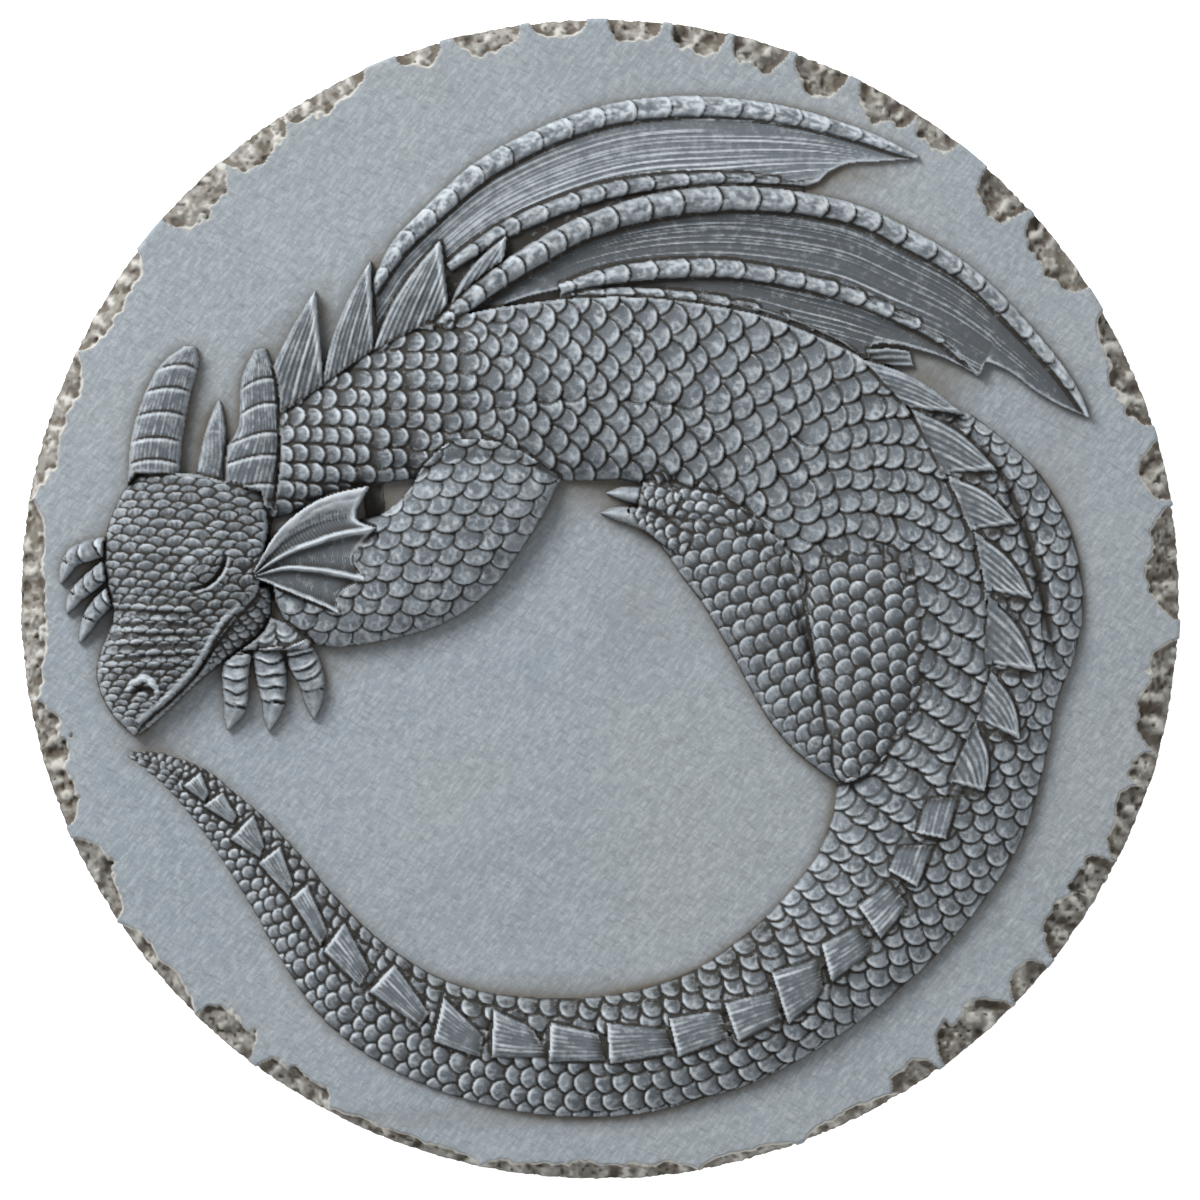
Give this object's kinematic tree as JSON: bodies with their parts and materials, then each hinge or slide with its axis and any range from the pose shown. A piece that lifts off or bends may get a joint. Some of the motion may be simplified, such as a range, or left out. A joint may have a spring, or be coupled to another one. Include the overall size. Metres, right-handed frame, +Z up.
{
  "type": "dragon relief stepping stone",
  "caption": "Round cast stone plaque that lies flat, with a sleeping dragon curled in relief on its face and a chipped rim.",
  "frame": {"origin": "centre of the flat underside, on the stone's round axis", "axes": "+Z up out of the relief face; +Y to the top of the design, where the wings are; +X to the side with the dragon's back"},
  "size_m": [0.3, 0.3, 0.0418],
  "materials": {
    "antiqued_stone": "matt cast stone, blue-grey with a brown wash and pale dry-brushed highlights"
  },
  "bodies": {
    "root": {"dragon_stepping_stone": "antiqued_stone"}
  },
  "joints": []
}
